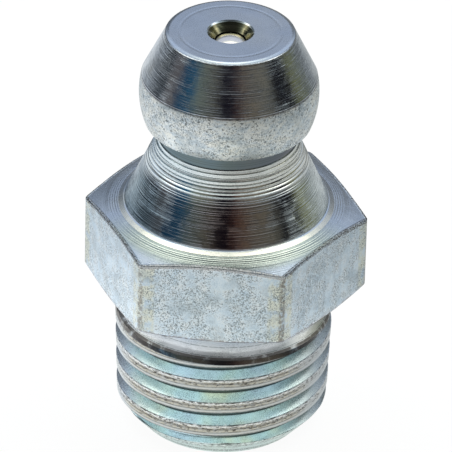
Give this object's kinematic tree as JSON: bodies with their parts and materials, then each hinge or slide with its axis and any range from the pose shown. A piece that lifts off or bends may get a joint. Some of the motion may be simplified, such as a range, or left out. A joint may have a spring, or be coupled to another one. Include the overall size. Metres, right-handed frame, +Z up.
{
  "type": "grease nipple",
  "caption": "Straight ball-check grease nipple with a ball-shaped coupling head, hexagon and short taper thread, for pumping grease into a bearing or joint.",
  "frame": {"origin": "centre of the flat end face of the threaded tail, on which the nipple stands", "axes": "+Z runs up the thread's axis from the tail to the coupling head; two flats of the hexagon face along +Y and -Y, and two of its corners point along +X and -X"},
  "size_m": [0.0102, 0.009, 0.016],
  "materials": {
    "zinc_plated_steel": "bright zinc plate over turned steel, clear to pale blue, with fine turning marks",
    "ball_steel": "polished hardened steel",
    "spring_steel": "drawn spring wire, dull"
  },
  "bodies": {
    "fitting": {"nipple_body": "zinc_plated_steel", "valve_spring": "spring_steel"},
    "ball": {"check_ball": "ball_steel"}
  },
  "joints": [
    {"name": "ball_lift", "type": "slide", "parent": "fitting", "child": "ball", "axis": [0, 0, -1], "range_m": [0, 0.001], "stiffness_N_per_m": 700, "springref_m": -0.0015, "deforming": ["valve_spring"]}
  ]
}
